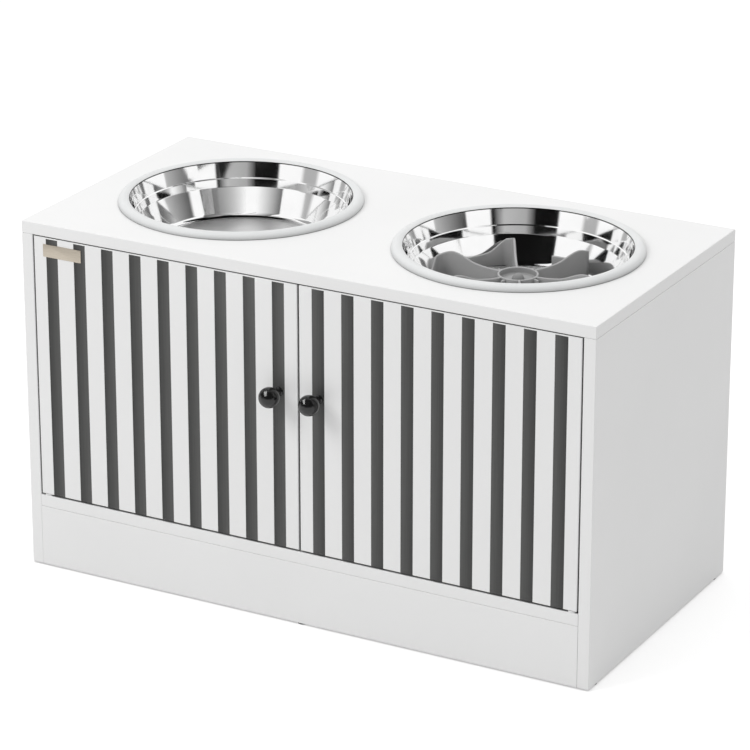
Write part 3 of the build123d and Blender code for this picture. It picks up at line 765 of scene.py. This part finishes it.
def make_plate():
    """The bare plate near the left door's upper corner."""
    bm = bmesh.new()
    corners = []
    for x, z, start in ((1, 1, 0), (0, 1, 90), (0, 0, 180), (1, 0, 270)):
        centre_x = PLATE_ROUND + x * (PLATE_WIDTH - 2 * PLATE_ROUND)
        centre_z = PLATE_ROUND + z * (PLATE_HEIGHT - 2 * PLATE_ROUND)
        for step in range(PLATE_CORNER_STEPS + 1):
            turn = math.radians(start + 90 * step / PLATE_CORNER_STEPS)
            corners.append((centre_x + PLATE_ROUND * math.cos(turn), centre_z + PLATE_ROUND * math.sin(turn)))
    corner = Vector((top_low.x, FRONT, 0)) + Vector((PLATE_LEFT, 0, PLATE_LOW)) * MM
    face = bm.faces.new([bm.verts.new(corner + Vector((x, 0, z)) * MM) for x, z in corners])
    grown = bmesh.ops.extrude_face_region(bm, geom=[face])["geom"]
    verts = [item for item in grown if isinstance(item, bmesh.types.BMVert)]
    bmesh.ops.translate(bm, verts=verts, vec=OUT * (PLATE_THICKNESS * MM))
    rim = [edge for edge in bm.edges if all(vert in verts for vert in edge.verts)]
    bmesh.ops.bevel(bm, geom=rim, offset=PLATE_EDGE_ROUND * MM, segments=2, affect="EDGES", profile=0.5)
    plate = make_object("bare_plate", bm, "left_door", "steel_hardware")
    plate.data.materials[0] = champagne_plate()


make_plate()

# ---------------------------------------------------------------- stage, light, camera

# The camera fitted to the photograph: metres, degrees, and a focal length in pixels of the picture
CAMERA_PLACE = (1.5876, -2.8822, 1.4745)
CAMERA_AZIMUTH = 28.769
CAMERA_ELEVATION = 21.111
FOCAL_PIXELS = 3734.0
PICTURE_PIXELS = 750
SENSOR = 36.0


def make_camera():
    """The camera at the photograph's angle, with a long lens."""
    data = bpy.data.cameras.new("camera")
    data.sensor_width = SENSOR
    data.lens = FOCAL_PIXELS / PICTURE_PIXELS * SENSOR
    camera = bpy.data.objects.new("camera", data)
    bpy.context.scene.collection.objects.link(camera)
    camera.location = CAMERA_PLACE
    camera.rotation_euler = (math.radians(90 - CAMERA_ELEVATION), 0, math.radians(CAMERA_AZIMUTH))
    bpy.context.scene.camera = camera


def seen_directly(tree):
    """1 for rays from the camera or a shiny or clear surface, and 0 for the light that falls on things."""
    path = tree.nodes.new("ShaderNodeLightPath")
    total = path.outputs["Is Camera Ray"]
    for name in ("Is Glossy Ray", "Is Transmission Ray"):
        either = tree.nodes.new("ShaderNodeMath")
        either.operation = "MAXIMUM"
        tree.links.new(total, either.inputs[0])
        tree.links.new(path.outputs[name], either.inputs[1])
        total = either.outputs["Value"]
    return total


WORLD_LIGHT = 0.62
FLOOR_REACH = 12.0
FLOOR_TONE = 0.80
FLOOR_GLOW = 0.40


def make_world():
    """An even grey-white world, white where it is seen."""
    world = bpy.data.worlds.new("studio")
    bpy.context.scene.world = world
    world.use_nodes = True
    tree = world.node_tree
    background = tree.nodes["Background"]
    background.inputs["Color"].default_value = (1, 1, 1, 1)
    strength = tree.nodes.new("ShaderNodeMapRange")
    tree.links.new(seen_directly(tree), strength.inputs["Value"])
    strength.inputs["To Min"].default_value = WORLD_LIGHT
    strength.inputs["To Max"].default_value = 1.0
    tree.links.new(strength.outputs["Result"], background.inputs["Strength"])


def make_floor():
    """A white floor that keeps the object's shadow and otherwise reads as white."""
    bm = bmesh.new()
    bmesh.ops.create_grid(bm, x_segments=1, y_segments=1, size=FLOOR_REACH)
    mesh = bpy.data.meshes.new("floor")
    bm.to_mesh(mesh)
    bm.free()
    floor = bpy.data.objects.new("floor", mesh)
    bpy.context.scene.collection.objects.link(floor)
    material = bpy.data.materials.new("floor")
    material.use_nodes = True
    tree = material.node_tree
    surface = tree.nodes["Principled BSDF"]
    surface.inputs["Base Color"].default_value = (*grey(FLOOR_TONE), 1)
    surface.inputs["Roughness"].default_value = 0.9
    surface.inputs["Specular IOR Level"].default_value = 0.0
    surface.inputs["Emission Color"].default_value = (1, 1, 1, 1)
    glow = tree.nodes.new("ShaderNodeMath")
    glow.operation = "MULTIPLY"
    tree.links.new(seen_directly(tree), glow.inputs[0])
    glow.inputs[1].default_value = FLOOR_GLOW
    tree.links.new(glow.outputs["Value"], surface.inputs["Emission Strength"])
    mesh.materials.append(material)


def area_light(name, place, target, size, power):
    """A soft rectangular lamp aimed at a point, which shiny surfaces do not mirror."""
    data = bpy.data.lights.new(name, "AREA")
    data.shape = "RECTANGLE"
    data.size, data.size_y = size
    data.energy = power
    lamp = bpy.data.objects.new(name, data)
    bpy.context.scene.collection.objects.link(lamp)
    lamp.location = place
    lamp.visible_glossy = False
    lamp.rotation_mode = "QUATERNION"
    lamp.rotation_quaternion = (Vector(target) - Vector(place)).to_track_quat("-Z", "Y")


def card_finish(name, size, tones, fade):
    """A glow from a card's left tone to its right tone, faded at both sides and clear from behind."""
    s = Shader(name)
    half = size[0] / 2
    across = s.along("X")
    edge = s.moved(s.maths("ABSOLUTE", across), half * (1 - fade), half, 1.0, 0.0)
    glow = s.add("ShaderNodeEmission")
    s.link(s.moved(across, -half, half, *tones), glow.inputs["Strength"])
    behind = s.add("ShaderNodeNewGeometry").outputs["Backfacing"]
    blend = s.add("ShaderNodeMixShader")
    s.link(s.maths("MULTIPLY", edge, s.spread(behind, 1.0, 0.0)), blend.inputs["Fac"])
    s.link(s.add("ShaderNodeBsdfTransparent").outputs["BSDF"], blend.inputs[1])
    s.link(glow.outputs["Emission"], blend.inputs[2])
    s.link(blend.outputs["Shader"], s.tree.nodes["Material Output"].inputs["Surface"])
    s.tree.nodes.remove(s.surface)
    s.material.cycles.emission_sampling = "NONE"
    return s.material


def card(name, centre, across, upwards, size, tones, fade=0.2):
    """A studio card that only shiny surfaces mirror; across runs from its left to its right."""
    bm = bmesh.new()
    bmesh.ops.create_grid(bm, x_segments=1, y_segments=1, size=0.5)
    bmesh.ops.scale(bm, verts=bm.verts, vec=Vector((*size, 1.0)))
    mesh = bpy.data.meshes.new(name)
    bm.to_mesh(mesh)
    bm.free()
    mesh.materials.append(card_finish(name, size, tones, fade))
    piece = bpy.data.objects.new(name, mesh)
    bpy.context.scene.collection.objects.link(piece)
    across = Vector(across).normalized()
    upwards = Vector(upwards).normalized()
    turn = Matrix((across, upwards, across.cross(upwards))).transposed()
    piece.matrix_world = Matrix.Translation(centre) @ turn.to_4x4()
    for rays in ("camera", "diffuse", "transmission", "volume_scatter", "shadow"):
        setattr(piece, f"visible_{rays}", False)


def aimed_card(name, around, azimuth, elevation, distance, size, tones, fade=0.2):
    """A card that faces a point; azimuth 0 is in front of it, and grows to the right."""
    turn, rise = math.radians(azimuth), math.radians(elevation)
    outwards = Vector((math.sin(turn) * math.cos(rise), -math.cos(turn) * math.cos(rise), math.sin(rise)))
    across = Vector((-math.cos(turn), -math.sin(turn), 0))
    card(name, Vector(around) + outwards * distance, across, across.cross(outwards), size, tones, fade)


def divider_card(name, side, start, size, tilt, tones):
    """A card between the bowls, facing one side; start is its lowest corner at the back, as (y, z)."""
    length, height = size
    rise = math.radians(tilt)
    forwards = Vector((0, -math.cos(rise), math.sin(rise)))
    upwards = Vector((0, math.sin(rise), math.cos(rise)))
    centre = Vector((0, *start)) + forwards * (length / 2) + upwards * (height / 2)
    card(name, centre, forwards * -side, upwards, size, tones, 0.01)


# A card's tones at its left and its right
BLACK = (0.005, 0.005)
WHITE = (1.0, 1.0)
KNOB_LIGHT = (11.0, 11.0)

# The knobs' lights stand this far from a knob's middle and front, at this height, in metres
KNOB_LIGHT_ASIDE = -0.078
KNOB_LIGHT_BEFORE = 0.095
KNOB_LIGHT_HEIGHT = 0.345
KNOB_LIGHT_SIZE = (0.035, 0.18)
KNOB_LIGHT_LEAN = 0.09


def make_cards():
    """The cards that give the polished bowls and knobs their light and dark shapes."""
    middle = (0, CENTRE_Y, TOP_FACE)
    left_bowl = bowl_centre("left")
    aimed_card("right_card", middle, 101, 4, 3.0, (2.1, 0.9), (0.50, 0.02), 0.1)
    aimed_card("front_flag", middle, 22, 9, 3.0, (4.2, 1.15), BLACK, 0.08)
    aimed_card("front_card", middle, 33, 9, 2.8, (2.1, 1.15), (0.55, 0.35), 0.5)
    aimed_card("left_card", middle, -50, 6, 3.0, (1.2, 1.2), (0.45, 0.45), 0.4)
    aimed_card("far_left_card", middle, -95, 6, 3.0, (1.6, 1.2), (0.35, 0.35), 0.5)
    aimed_card("low_flag", middle, 62, 18.5, 2.7, (1.15, 0.10), BLACK)
    card("ceiling_card", (0, 0, 2.9), LEFT, BACK, (2.6, 2.6), (0.6, 0.6))
    aimed_card("side_card", left_bowl, -85, 38, 0.9, (0.7, 0.4), (0.35, 0.35), 0.5)
    aimed_card("back_right_card", left_bowl, 115, 22, 0.8, (0.56, 0.24), (0.55, 0.06), 0.2)
    card("back_flag", left_bowl + Vector((0, 0.20, 0.6)), LEFT, BACK, (0.90, 0.46), BLACK, 0.3)
    card("left_bowl_card", (-0.22, -0.75, 1.02), LEFT, UP, (0.44, 0.8), (1.0, 0.12), 0.01)
    card("left_bowl_ceiling", (-0.22, -0.28, 1.42), LEFT, BACK, (0.44, 0.96), (1.0, 0.12), 0.01)
    divider_card("left_divider_back", -1, (0.06, 0.39), (0.04, 1.0), 0, WHITE)
    divider_card("left_divider_middle", -1, (0.02, 0.405), (0.35, 1.0), 18, (0.10, 1.0))
    divider_card("left_divider_front", -1, (-0.31, 0.512), (0.75, 1.0), 18, WHITE)
    divider_card("right_divider_back", 1, (0.15, 0.39), (0.2, 1.0), 0, WHITE)
    divider_card("right_divider_middle", 1, (-0.05, 0.392), (0.36, 1.0), 18, WHITE)
    divider_card("right_divider_front", 1, (-0.39, 0.502), (0.75, 1.0), 18, BLACK)
    card("feeder_flag", (0.60, -0.55, 1.10), LEFT, (0, 0.83, 0.56), (1.25, 1.15), BLACK, 0.02)
    card("knob_flag", (0, -0.72, 0.355), LEFT, BACK, (1.6, 1.1), BLACK, 0.1)
    for side_name in SIDES:
        low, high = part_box(f"{side_name}_knob")
        centre_x = (low.x + high.x) / 2
        place = (centre_x + KNOB_LIGHT_ASIDE, low.y - KNOB_LIGHT_BEFORE, KNOB_LIGHT_HEIGHT)
        across = (-1, -KNOB_LIGHT_LEAN, 0)
        upwards = (-KNOB_LIGHT_LEAN, 1, 0)
        card(f"{side_name}_knob_light", place, across, upwards, KNOB_LIGHT_SIZE, KNOB_LIGHT)


make_camera()
make_world()
make_floor()
make_cards()
area_light("key", (-1.6, -2.2, 2.6), (0, 0, 0.2), (1.2, 1.6), 38.0)
area_light("top", (0.2, 0.4, 3.0), (0, 0, 0.3), (2.0, 2.0), 22.0)
bpy.context.scene.view_settings.view_transform = "Standard"
